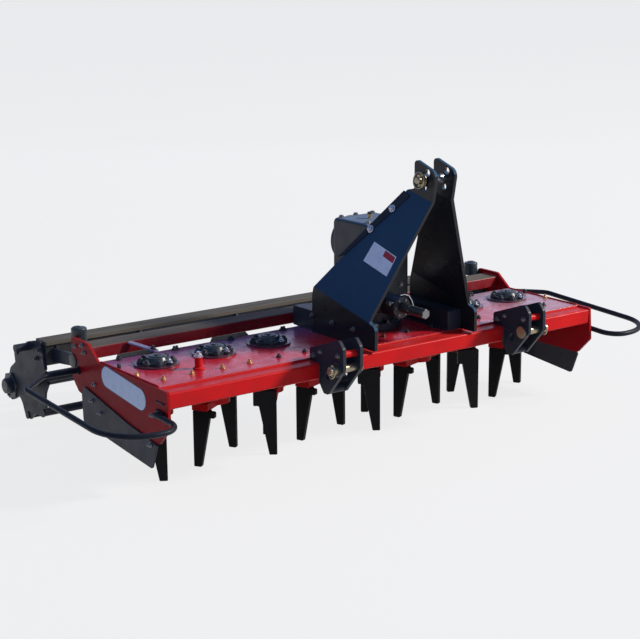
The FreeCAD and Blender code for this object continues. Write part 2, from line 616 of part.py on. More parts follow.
def tines(number):
    """The two blades of one rotor; the vertical edge leads."""
    x = rotor_x(number)
    top = HOLDER_TOP + TINE_HEAD_RISE if number % 2 else HOLDER_BOTTOM
    tip_trail = TINE_LEAD - TINE_TIP_WIDTH
    blade_trail = TINE_LEAD - TINE_BLADE_WIDTH
    head_trail = TINE_LEAD - TINE_HEAD_WIDTH
    inner = x + TINE_INNER_R
    points = [V(inner, TINE_LEAD, 0), V(inner, TINE_LEAD, top), V(inner, head_trail, top),
              V(inner, head_trail, TINE_HEAD_BOTTOM), V(inner, blade_trail, TINE_HEAD_BOTTOM),
              V(inner, tip_trail, 0)]
    outline = rounded_wire(points, [4, 4, 6, 5, 5, 4])
    blade = Part.Face(outline).extrude(V(TINE_THICK, 0, 0))
    foot = box(inner - TINE_HEAD_STEP, inner + TINE_THICK / 2, TINE_LEAD - HOLDER_WIDTH,
               TINE_LEAD - 8, TINE_HEAD_BOTTOM, HOLDER_BOTTOM)
    blade = fuse([blade, foot])
    opposite = blade.copy()
    opposite.rotate(V(x, 0, 0), V(0, 0, 1), 180)
    pair = Part.makeCompound([blade, opposite])
    if number % 2 == 0:
        pair = pair.mirror(V(x, 0, 0), V(0, 1, 0))
    pair.rotate(V(x, 0, 0), V(0, 0, 1), TINE_ANGLES[number - 1])
    return pair


# ---------------------------------------------------------------- roller frame and roller
def roller_arm():
    """Left arm from its pivot pin to the box under the strip's end."""
    x1 = -PLATE_INNER + ARM_GAP
    rear = STRIP_FRONT + END_BOX_SETBACK
    outline = [(PIVOT_Y, PIVOT_Z - ARM_END_R, 0), (rear, ARM_REAR_BOTTOM, 0), (rear, ARM_REAR_TOP, 0),
               (PIVOT_Y, PIVOT_Z + ARM_END_R, 0)]
    strap = side_plate(outline, x1, x1 + ARM_THICK)
    eye = rod_x(ARM_END_R, x1, x1 + ARM_THICK, PIVOT_Y, PIVOT_Z)
    pin = rod_x(PIVOT_R, -HALF_WIDTH, x1, PIVOT_Y, PIVOT_Z)
    return fuse([strap, eye, pin])


def roller_beam():
    """Flat strip between the hangers, stiffened by a box under each end."""
    z0 = STRIP_TOP - STRIP_THICK
    y0 = STRIP_FRONT + END_BOX_SETBACK
    y1 = y0 + END_BOX_DEPTH
    strip = box(-HANGER_INNER, HANGER_INNER, STRIP_FRONT, STRIP_FRONT + STRIP_DEPTH, z0, STRIP_TOP)
    outline = [(y0, END_BOX_BOTTOM, 6), (y1, END_BOX_BOTTOM, 6), (y1, z0, 0), (y0, z0, 0)]
    end_box = side_plate(outline, -HANGER_INNER, -HANGER_INNER + END_BOX_LENGTH)
    return fuse([strip, end_box, other_side(end_box)])


def hanger():
    """Left side plate that carries the roller's bearing, with a round stub on its outer face."""
    outline = [(STRIP_FRONT + STRIP_DEPTH + 51, STRIP_TOP - 20, 12), (STRIP_FRONT + 25, STRIP_TOP + 6, 12),
               (STRIP_FRONT, END_BOX_BOTTOM - 10, 8), (STRIP_FRONT + 17, END_BOX_BOTTOM - 22, 8),
               (ROLLER_Y - 72, ROLLER_Z - 22, 20), (ROLLER_Y + 14, ROLLER_Z - 63, 26),
               (ROLLER_Y + 38, ROLLER_Z - 8, 20), (ROLLER_Y, ROLLER_Z + 68, 24),
               (ROLLER_Y - 63, ROLLER_Z + 110, 30)]
    plate = side_plate(outline, -HANGER_OUTER, -HANGER_INNER)
    stub = rod_x(HANGER_STUB_R, -HANGER_OUTER - HANGER_STUB_LENGTH, -HANGER_OUTER,
                 STRIP_FRONT + STRIP_DEPTH + HANGER_STUB_SETBACK, STRIP_TOP - HANGER_STUB_DROP)
    opening = rod_x(AXLE_R + RUNNING_GAP, -HANGER_OUTER, -HANGER_INNER, ROLLER_Y, ROLLER_Z)
    return fuse([plate, stub]).cut(opening)


def roller_bearing():
    """Left flange bearing on the outside of its hanger."""
    x0 = -HANGER_OUTER - BEARING_THICK
    body = rod_x(BEARING_R, x0, -HANGER_OUTER, ROLLER_Y, ROLLER_Z)
    rim = [edge for edge in body.Edges if edge.BoundBox.XMax < x0 + 1]
    bore = rod_x(AXLE_R + SHAFT_FIT, x0 + BEARING_CAP, -HANGER_OUTER, ROLLER_Y, ROLLER_Z)
    return body.makeFillet(6, rim).cut(bore)


def roller_axle():
    """Centre tube with its two stub shafts."""
    tube = rod_x(AXLE_TUBE_R, -DISC_HALF - DISC_THICK, DISC_HALF + DISC_THICK, ROLLER_Y, ROLLER_Z)
    reach = HANGER_OUTER + BEARING_THICK - BEARING_CAP - RUNNING_GAP / 2
    stubs = rod_x(AXLE_R, -reach, reach, ROLLER_Y, ROLLER_Z)
    return fuse([tube, stubs])


def bar_places():
    """Y and Z of each roller bar."""
    places = []
    for i in range(BAR_COUNT):
        angle = math.radians(BAR_PHASE + 360 * i / BAR_COUNT)
        places.append((ROLLER_Y + BAR_CIRCLE_R * math.cos(angle),
                       ROLLER_Z + BAR_CIRCLE_R * math.sin(angle)))
    return places


def roller_bars():
    """Round bars of the cage."""
    return [rod_x(BAR_R, -BAR_HALF, BAR_HALF, y, z) for y, z in bar_places()]


def disc_outline():
    """Outline of a star disc: an ear at every bar and a waist between two bars."""
    outline = []
    for i in range(BAR_COUNT):
        for turn, radius, corner in ((-DISC_EAR, DISC_R, 6), (DISC_EAR, DISC_R, 6),
                                     (180 / BAR_COUNT, DISC_WAIST_R, 60)):
            angle = math.radians(BAR_PHASE + 360 * i / BAR_COUNT + turn)
            outline.append((ROLLER_Y + radius * math.cos(angle),
                            ROLLER_Z + radius * math.sin(angle), corner))
    return outline


def roller_discs():
    """Star discs along the centre tube, each ear notched for its bar."""
    outline = disc_outline()
    discs = []
    for i in range(DISC_COUNT):
        x = -DISC_HALF + i * 2 * DISC_HALF / (DISC_COUNT - 1)
        disc = side_plate(outline, x - DISC_THICK / 2, x + DISC_THICK / 2)
        disc = disc.cut(rod_x(AXLE_TUBE_R + SHAFT_FIT, x - DISC_THICK, x + DISC_THICK, ROLLER_Y, ROLLER_Z))
        for y, z in bar_places():
            disc = disc.cut(rod_x(BAR_R + SHAFT_FIT, x - DISC_THICK, x + DISC_THICK, y, z))
        discs.append(disc)
    return discs


# ---------------------------------------------------------------- the machine's nodes
def build_nodes():
    """Every named node, drawn about the rotor line."""
    nodes = {
        "gear_trough": gear_trough(),
        "deck": deck(),
        "front_beam": front_beam(),
        "rear_member": rear_member(),
        "bearing_covers": Part.makeCompound([bearing_cover(rotor_x(n)) for n in COVERED_ROTORS]),
        "rotor_housings": Part.makeCompound([rotor_housing(rotor_x(n))
                                             for n in range(1, ROTOR_COUNT + 1)]),
        "clevis_spacers": Part.makeCompound([moved_x(clevis_spacer(), HITCH_X + side * LOWER_SPREAD / 2)
                                             for side in (-1, 1)]),
        "top_link_pin": moved_x(top_link_pin(), HITCH_X),
        "gearbox": moved_x(gearbox(), HITCH_X),
        "gearbox_cover": moved_x(gearbox_cover(), HITCH_X),
        "pto_shaft": moved_x(pto_shaft(), HITCH_X),
        "roller_beam": roller_beam(),
        "roller_axle": roller_axle(),
        "roller_bars": Part.makeCompound(roller_bars()),
        "roller_discs": Part.makeCompound(roller_discs()),
    }
    for name, shape in (("end_plate", end_plate()), ("tower_post", tower_post()),
                        ("deflector", deflector()), ("guard_hoop", guard_hoop()),
                        ("roller_arm", roller_arm()), ("roller_hanger", hanger()),
                        ("roller_bearing", roller_bearing())):
        nodes[name + "_left"] = shape
        nodes[name + "_right"] = other_side(shape)
    for name, shape in (("mast_plate", mast_plate()), ("mast_rail", mast_rail())):
        nodes[name + "_left"] = moved_x(shape, HITCH_X)
        nodes[name + "_right"] = moved_x(other_side(shape), HITCH_X)
    for name, shape in (("lower_clevis", lower_clevis()), ("lower_pin", lower_pin())):
        nodes[name + "_left"] = moved_x(shape, HITCH_X - LOWER_SPREAD / 2)
        nodes[name + "_right"] = moved_x(other_side(shape), HITCH_X + LOWER_SPREAD / 2)
    for number in range(1, ROTOR_COUNT + 1):
        nodes["rotor_%d" % number] = rotor(number)
        nodes["tines_%d" % number] = tines(number)
    return nodes


os.makedirs("parts", exist_ok=True)
for node, shape in build_nodes().items():
    placed = shape.copy()
    placed.translate(V(0, SHIFT_Y, 0))
    placed.exportStep("parts/%s.step" % node)
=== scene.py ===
"""Power harrow: materials, fasteners, labels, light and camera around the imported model."""
import json
import math

import bmesh
import bpy
from mathutils import Matrix, Vector

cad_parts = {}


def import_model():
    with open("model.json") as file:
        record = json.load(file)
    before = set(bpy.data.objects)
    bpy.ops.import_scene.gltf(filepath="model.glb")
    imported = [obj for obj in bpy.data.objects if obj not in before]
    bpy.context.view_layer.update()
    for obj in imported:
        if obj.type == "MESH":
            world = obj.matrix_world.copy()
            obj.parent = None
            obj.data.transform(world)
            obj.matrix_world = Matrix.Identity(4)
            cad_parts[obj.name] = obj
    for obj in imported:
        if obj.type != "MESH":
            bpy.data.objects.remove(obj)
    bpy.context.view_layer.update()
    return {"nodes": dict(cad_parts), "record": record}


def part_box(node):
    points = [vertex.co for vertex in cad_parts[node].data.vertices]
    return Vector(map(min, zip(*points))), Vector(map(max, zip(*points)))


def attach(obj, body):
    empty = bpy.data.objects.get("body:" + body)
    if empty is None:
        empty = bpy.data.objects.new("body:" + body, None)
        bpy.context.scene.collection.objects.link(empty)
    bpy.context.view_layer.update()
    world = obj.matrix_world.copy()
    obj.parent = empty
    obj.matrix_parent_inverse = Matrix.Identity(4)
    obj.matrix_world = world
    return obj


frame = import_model()
NODES = frame["nodes"]
MM = 0.001
X, Y, Z = Vector((1, 0, 0)), Vector((0, 1, 0)), Vector((0, 0, 1))
SIDES = (("left", -1), ("right", 1))

ROTORS = 8
COVERED = (1, 2, 3, 7, 8)       # rotors under a bearing cover
LOBES = 8                       # bolts of one cover

# sizes in mm that the boxes of the nodes don't give
DECK_THICK = 8
PLATE_THICK = 10
DEFLECTOR_THICK = 6
MAST_THICK = 12
HOUSING_FLANGE = 14
HOLDER_HEIGHT = 25
INPUT_FACE = -106               # gearbox's front, from the rotor line
BOSS_TIP = -181                 # input boss's front, from the rotor line
WEB_FOOT = 520                  # a mast plate's lower bend at the rotor line
WEB_RISE = 432                  # from its lower to its upper bend
WEB_FALL = 0.2317               # both bends fall towards the tractor, per mm of Y


# ---------------------------------------------------------------- places read from the frame
def low(node):
    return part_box(node)[0]


def high(node):
    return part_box(node)[1]


def middle(node):
    return (low(node) + high(node)) / 2


def rotor_x(number):
    return middle("rotor_%d" % number).x


ROTOR_Y = middle("rotor_1").y
HITCH = middle("gearbox")
DECK_Z = high("gear_trough").z + DECK_THICK * MM
BOSS_Z = high("deck").z
TROUGH_FRONT = low("gear_trough").y
TROUGH_REAR = high("gear_trough").y
PLATE_X = low("end_plate_left").x
RAIL_Z = high("mast_rail_left").z


def on_circle(centre, radius, count, first, across=X, up=Y):
    """Numbered places around a circle; the radius is in mm, the first angle in degrees."""
    for i in range(count):
        angle = math.radians(first + 360 / count * i)
        yield i, Vector(centre) + (across * math.cos(angle) + up * math.sin(angle)) * radius * MM


def ring_points(centre, lean, half_width, half_height):
    """Closed upright loop round a pin's end, leaning along X; sizes in mm."""
    points = []
    for i in range(33):
        angle = 2 * math.pi * i / 32
        points.append(Vector(centre) + Vector((lean * math.cos(angle), half_width * math.sin(angle),
                                               half_height * math.cos(angle))) * MM)
    return points


# ---------------------------------------------------------------- materials
class Mat:
    """A node material with short calls for the nodes used below."""

    def __init__(self, name):
        self.material = bpy.data.materials.new(name)
        self.material.use_nodes = True
        self.tree = self.material.node_tree
        self.shader = self.tree.nodes["Principled BSDF"]

    def node(self, kind, **settings):
        made = self.tree.nodes.new(kind)
        for key, value in settings.items():
            setattr(made, key, value)
        return made

    def link(self, source, target):
        self.tree.links.new(source, target)

    def put(self, socket, value):
        """A link, a colour or a plain number into one socket."""
        if isinstance(value, tuple):
            socket.default_value = (*value, 1.0)
        elif isinstance(value, (int, float)):
            socket.default_value = value
        else:
            self.link(value, socket)

    def coords(self, stretch=(1, 1, 1)):
        place = self.node("ShaderNodeMapping")
        place.inputs["Scale"].default_value = stretch
        self.link(self.node("ShaderNodeTexCoord").outputs["Object"], place.inputs["Vector"])
        return place.outputs["Vector"]

    def noise(self, scale, detail=4.0, rough=0.6, stretch=(1, 1, 1)):
        made = self.node("ShaderNodeTexNoise")
        made.inputs["Scale"].default_value = scale
        made.inputs["Detail"].default_value = detail
        made.inputs["Roughness"].default_value = rough
        self.link(self.coords(stretch), made.inputs["Vector"])
        return made.outputs["Fac"]

    def ramp(self, source, start, end, first=0.0, last=1.0):
        made = self.node("ShaderNodeMapRange")
        made.inputs["From Min"].default_value = start
        made.inputs["From Max"].default_value = end
        made.inputs["To Min"].default_value = first
        made.inputs["To Max"].default_value = last
        self.link(source, made.inputs["Value"])
        return made.outputs["Result"]

    def mix(self, factor, first, second):
        made = self.node("ShaderNodeMix", data_type="RGBA")
        self.put(made.inputs[0], factor)
        self.put(made.inputs[6], first)
        self.put(made.inputs[7], second)
        return made.outputs[2]

    def maths(self, operation, first, second):
        made = self.node("ShaderNodeMath", operation=operation)
        self.put(made.inputs[0], first)
        self.put(made.inputs[1], second)
        return made.outputs[0]

    def facing_up(self, start=0.45, end=0.9):
        """1 on surfaces that face the sky."""
        split = self.node("ShaderNodeSeparateXYZ")
        self.link(self.node("ShaderNodeNewGeometry").outputs["Normal"], split.inputs[0])
        return self.ramp(split.outputs["Z"], start, end)

    def place(self, axis):
        """One coordinate of the object."""
        split = self.node("ShaderNodeSeparateXYZ")
        self.link(self.node("ShaderNodeTexCoord").outputs["Object"], split.inputs[0])
        return split.outputs[axis]

    def edges(self, radius):
        """Rounded normal, and 1 along outer edges."""
        bevel = self.node("ShaderNodeBevel", samples=4)
        bevel.inputs["Radius"].default_value = radius
        dot = self.node("ShaderNodeVectorMath", operation="DOT_PRODUCT")
        self.link(bevel.outputs["Normal"], dot.inputs[0])
        self.link(self.node("ShaderNodeNewGeometry").outputs["Normal"], dot.inputs[1])
        return bevel.outputs["Normal"], self.ramp(dot.outputs["Value"], 0.96, 0.86)

    def bump(self, source, distance, strength, normal=None):
        made = self.node("ShaderNodeBump")
        made.inputs["Distance"].default_value = distance
        made.inputs["Strength"].default_value = strength
        self.link(source, made.inputs["Height"])
        if normal is not None:
            self.link(normal, made.inputs["Normal"])
        return made.outputs["Normal"]


DUST = (0.19, 0.155, 0.12)
EARTH = (0.075, 0.052, 0.034)
TARNISH = (0.09, 0.06, 0.035)


def coated(name, color, shade, rough, specular, dust_and_sheen, soil, worn=(0.12, 0.11, 0.09), wear=0.6,
           grain=260, relief=0.25, dust_and_sheen_color=DUST, film_least=0.2, tilt=(0.45, 0.9)):
    """Painted or cast metal with a film on up-facing surfaces, soil low down and rubbed edges; the
    film is dust, and on the mast paint and the grey casting it is a painted sky reflection.
    """
    m = Mat(name)
    patchy = m.ramp(m.noise(5.0), 0.3, 0.72)
    base = m.mix(patchy, color, shade)
    normal, edge = m.edges(1.6 * MM)
    rubbed = m.maths("MULTIPLY", edge, m.ramp(m.noise(38.0, 5.0), 0.38, 0.62, 0.15, wear))
    base = m.mix(rubbed, base, worn)
    scuffs = m.ramp(m.noise(60.0, 3.0, 0.5, (0.12, 1, 1)), 0.69, 0.76, 0.0, 0.35)
    base = m.mix(scuffs, base, worn)
    # film on up-facing surfaces: real dust on most materials, a painted sky reflection where a sky
    # blue colour is given (mast paint, grey casting)
    film = m.maths("MULTIPLY", m.facing_up(*tilt),
                   m.ramp(m.noise(9.0, 6.0), 0.3, 0.75, film_least * dust_and_sheen, dust_and_sheen))
    base = m.mix(film, base, dust_and_sheen_color)
    splash = m.maths("MULTIPLY", m.ramp(m.place("Z"), 0.42, 0.16),
                     m.ramp(m.noise(17.0, 6.0), 0.42, 0.7, 0.0, soil))
    base = m.mix(splash, base, EARTH)
    m.link(base, m.shader.inputs["Base Color"])
    dirt = m.maths("ADD", film, splash)
    gloss = m.maths("ADD", m.ramp(m.noise(24.0, 4.0), 0.3, 0.7, rough - 0.05, rough + 0.08),
                    m.maths("MULTIPLY", dirt, 0.5))
    m.link(gloss, m.shader.inputs["Roughness"])
    m.shader.inputs["Specular IOR Level"].default_value = specular
    m.link(m.bump(m.noise(grain, 2.0), 0.4 * MM, relief, normal), m.shader.inputs["Normal"])
    return m.material


def bare(name, color, shade, rough, stained=0.35):
    """Plated or bare metal with tarnish."""
    m = Mat(name)
    tarnish = m.ramp(m.noise(45.0, 6.0), 0.4, 0.75, 0.0, stained)
    m.link(m.mix(tarnish, m.mix(m.ramp(m.noise(12.0), 0.3, 0.7), color, shade), TARNISH),
           m.shader.inputs["Base Color"])
    m.link(m.ramp(m.noise(70.0, 4.0), 0.3, 0.7, rough, rough + 0.2), m.shader.inputs["Roughness"])
    m.link(m.ramp(tarnish, 0.0, 0.6, 1.0, 0.45), m.shader.inputs["Metallic"])
    normal = m.edges(0.8 * MM)[0]
    m.link(m.bump(m.noise(420.0, 3.0), 0.2 * MM, 0.25, normal), m.shader.inputs["Normal"])
    return m.material


def deck_paint():
    """Glossy red with painted light: a dark lilac painted sky reflection and painted shade towards
    the rear, a pale painted sheen towards the right end.
    """
    m = Mat("deck_paint")
    base = m.mix(m.ramp(m.noise(5.0), 0.3, 0.72), (0.62, 0.013, 0.022), (0.5, 0.013, 0.027))
    # painted sky reflection and painted shade: dark lilac over the rear band
    rear = m.maths("MULTIPLY", m.ramp(m.place("Y"), ROTOR_Y - 70 * MM, ROTOR_Y + 90 * MM),
                   m.ramp(m.noise(11.0, 5.0), 0.25, 0.7, 0.45, 0.92))
    base = m.mix(rear, base, (0.15, 0.11, 0.24))
    # painted sheen: pale haze towards the right end
    right = m.maths("MULTIPLY", m.ramp(m.place("X"), rotor_x(6), rotor_x(8)),
                    m.ramp(m.noise(14.0, 5.0, 0.6, (0.4, 1, 1)), 0.3, 0.65, 0.25, 0.85))
    base = m.mix(right, base, (0.42, 0.34, 0.37))
    normal, edge = m.edges(1.6 * MM)
    rubbed = m.maths("MULTIPLY", edge, m.ramp(m.noise(38.0, 5.0), 0.38, 0.62, 0.1, 0.5))
    base = m.mix(rubbed, base, (0.42, 0.14, 0.11))
    # raised rings above the deck's top are darkened to near black
    dark_raised_rings = m.ramp(m.place("Z"), DECK_Z + 0.5 * MM, DECK_Z + 1.5 * MM, 0.0, 0.85)
    base = m.mix(dark_raised_rings, base, (0.035, 0.03, 0.045))
    scuffs = m.ramp(m.noise(60.0, 3.0, 0.5, (0.12, 1, 1)), 0.66, 0.76, 0.0, 0.4)
    m.link(m.mix(scuffs, base, (0.42, 0.16, 0.14)), m.shader.inputs["Base Color"])
    m.link(m.ramp(m.noise(24.0, 4.0), 0.3, 0.7, 0.2, 0.36), m.shader.inputs["Roughness"])
    m.shader.inputs["Specular IOR Level"].default_value = 0.55
    m.link(m.bump(m.noise(180.0, 3.0), 0.4 * MM, 0.25, normal), m.shader.inputs["Normal"])
    return m.material


def tine_material():
    """Black forged tines, worn and earthy towards the tips."""
    m = Mat("tine_steel")
    base = m.mix(m.ramp(m.noise(14.0, 5.0), 0.35, 0.7),
                 (0.005, 0.005, 0.006), (0.009, 0.009, 0.009))
    low_down = m.ramp(m.place("Z"), 0.11, 0.0)
    streaks = m.ramp(m.noise(55.0, 6.0, 0.6, (1, 1, 0.25)), 0.35, 0.65, 0.2, 1.0)
    worn = m.maths("MULTIPLY", low_down, streaks)
    base = m.mix(worn, base, (0.011, 0.01, 0.009))
    normal, edge = m.edges(1.5 * MM)
    base = m.mix(m.maths("MULTIPLY", edge, 0.2), base, (0.04, 0.038, 0.035))
    m.link(base, m.shader.inputs["Base Color"])
    m.link(m.ramp(worn, 0.0, 1.0, 0.45, 0.62), m.shader.inputs["Roughness"])
    m.shader.inputs["Specular IOR Level"].default_value = 0.12
    m.link(m.bump(m.noise(160.0, 5.0), 0.6 * MM, 0.35, normal), m.shader.inputs["Normal"])
    return m.material


def dirty_top(name, color, shade, rough, cover, crust):
    """Paint under dried soil: on top, and on every face above the height of the crust."""
    m = Mat(name)
    base = m.mix(m.ramp(m.noise(6.0), 0.3, 0.7), color, shade)
    streak = m.noise(30.0, 7.0, 0.65, (0.06, 1, 1))
    dusty = m.maths("MAXIMUM", m.facing_up(), m.ramp(m.place("Z"), crust, crust + 3 * MM))
    caked = m.maths("MULTIPLY", dusty, m.ramp(streak, 0.28, 0.5, cover - 0.35, cover))
    soil = m.mix(m.ramp(m.noise(22.0, 6.0, 0.6, (0.15, 1, 1)), 0.3, 0.7),
                 (0.10, 0.086, 0.062), (0.165, 0.145, 0.11))
    splashed = m.ramp(m.noise(26.0, 7.0), 0.5, 0.72, 0.0, 0.3)
    dirt = m.maths("MAXIMUM", caked, splashed)
    m.link(m.mix(dirt, base, soil), m.shader.inputs["Base Color"])
    m.link(m.ramp(dirt, 0.0, 1.0, rough, 0.9), m.shader.inputs["Roughness"])
    m.shader.inputs["Specular IOR Level"].default_value = 0.35
    normal = m.edges(1.6 * MM)[0]
    m.link(m.bump(m.noise(120.0, 6.0), 0.9 * MM, 0.4, normal), m.shader.inputs["Normal"])
    return m.material


def sticker(name, face):
    """Printed film, dulled in patches by grime."""
    m = Mat(name)
    dull = tuple(0.72 * c for c in face)
    grime = m.ramp(m.noise(40.0, 6.0), 0.45, 0.75, 0.0, 0.45)
    m.link(m.mix(grime, face, dull), m.shader.inputs["Base Color"])
    m.link(m.ramp(m.noise(90.0), 0.3, 0.7, 0.35, 0.5), m.shader.inputs["Roughness"])
    m.link(m.bump(m.noise(300.0), 0.1 * MM, 0.15), m.shader.inputs["Normal"])
    return m.material


RED = coated("red_paint", (0.76, 0.013, 0.013), (0.58, 0.01, 0.013), rough=0.3, specular=0.1,
             dust_and_sheen=0.12, soil=0.3, worn=(0.42, 0.14, 0.11), wear=0.4)
# end plates: a darker copy of the red paint, painted shade
END_RED_PAINTED_SHADE = coated("end_plate_red_painted_shade", (0.46, 0.007, 0.013), (0.36, 0.006, 0.013), rough=0.3,
                 specular=0.06, dust_and_sheen=0.12, soil=0.3, worn=(0.3, 0.1, 0.09), wear=0.35)
DECK_RED = deck_paint()
BLACK = coated("black_paint", (0.026, 0.032, 0.044), (0.032, 0.038, 0.05), rough=0.34,
               specular=0.15, dust_and_sheen=0.12, soil=0.3, worn=(0.15, 0.145, 0.12), wear=0.7)
# mast paint: its blue film on the leaning webs is a painted sky reflection, not dust
MAST_BLACK = coated("mast_paint", (0.012, 0.013, 0.016), (0.017, 0.018, 0.021), rough=0.3,
                    specular=0.25, dust_and_sheen=0.95, soil=0.2, worn=(0.14, 0.14, 0.13),
                    dust_and_sheen_color=(0.028, 0.085, 0.155), film_least=0.85, tilt=(0.2, 0.36))
HOOP_BLACK = coated("hoop_paint", (0.008, 0.012, 0.02), (0.012, 0.016, 0.026), rough=0.4,
                    specular=0.15, dust_and_sheen=0.1, soil=0.2, worn=(0.09, 0.09, 0.085), wear=0.4)
# grey casting: its blue-grey film on up-facing faces is a painted sky reflection
GREY = coated("grey_casting", (0.04, 0.043, 0.046), (0.054, 0.058, 0.062), rough=0.38,
              specular=0.35, dust_and_sheen=0.9, soil=0.3, worn=(0.15, 0.145, 0.13), wear=0.5,
              grain=150, relief=0.5, dust_and_sheen_color=(0.18, 0.25, 0.35), film_least=0.6)
DARK = coated("dark_casting", (0.018, 0.03, 0.036), (0.026, 0.04, 0.046), rough=0.33,
              specular=0.5, dust_and_sheen=0.12, soil=0.3, worn=(0.12, 0.12, 0.11), wear=0.5,
              grain=130, relief=0.6)
BOLT_BLACK = coated("bolt_black", (0.02, 0.022, 0.03), (0.03, 0.032, 0.04), rough=0.35,
                    specular=0.5, dust_and_sheen=0.15, soil=0.2)
PALE_BLUE = coated("pale_lever", (0.38, 0.35, 0.5), (0.3, 0.28, 0.42), rough=0.4,
                   specular=0.4, dust_and_sheen=0.15, soil=0.1)
# rear member: a darker copy of the red paint under the real soil, painted shade on its face
SOILED_RED_PAINTED_SHADE = dirty_top("soiled_red_painted_shade", (0.30, 0.012, 0.018), (0.22, 0.012, 0.018), rough=0.35,
                       cover=0.97, crust=high("rear_member").z)
SOILED_BLACK = dirty_top("soiled_black", (0.02, 0.022, 0.026), (0.03, 0.03, 0.032), rough=0.45,
                         cover=0.9, crust=high("roller_beam").z - 14 * MM)
TINE = tine_material()
ZINC = bare("zinc_pin", (0.5, 0.43, 0.27), (0.4, 0.35, 0.24), rough=0.3)
DULL_ZINC = bare("dull_zinc", (0.3, 0.32, 0.35), (0.2, 0.21, 0.23), rough=0.42, stained=0.6)
CHROME = bare("bright_zinc", (0.72, 0.74, 0.78), (0.56, 0.58, 0.62), rough=0.22, stained=0.12)
STEEL = bare("bare_steel", (0.26, 0.26, 0.255), (0.18, 0.18, 0.18), rough=0.32)
BRASS = bare("brass", (0.78, 0.56, 0.26), (0.64, 0.42, 0.18), rough=0.26, stained=0.2)
WHITE_FILM = sticker("white_film", (0.88, 0.92, 0.98))
DARK_FILM = sticker("dark_film", (0.03, 0.035, 0.09))
RED_FILM = sticker("red_film", (0.5, 0.02, 0.03))

SLOT_MATERIALS = {
    "red_paint": RED, "black_paint": BLACK, "grey_casting": GREY, "dark_casting": DARK,
    "zinc_pin": ZINC, "bare_steel": STEEL, "tine_steel": TINE,
}
NODE_MATERIALS = {
    "rear_member": SOILED_RED_PAINTED_SHADE, "roller_beam": SOILED_BLACK, "deck": DECK_RED,
    "end_plate_left": END_RED_PAINTED_SHADE, "end_plate_right": END_RED_PAINTED_SHADE,
    "mast_plate_left": MAST_BLACK, "mast_plate_right": MAST_BLACK,
    "guard_hoop_left": HOOP_BLACK, "guard_hoop_right": HOOP_BLACK,
}


def dress_nodes():
    """Each node gets its own material, or else that of its slot."""
    for part in frame["record"]["subparts"]:
        node = NODES[part["node"]]
        node.data.materials.clear()
        material = NODE_MATERIALS.get(part["node"], SLOT_MATERIALS[part["material_slot"]])
        node.data.materials.append(material)


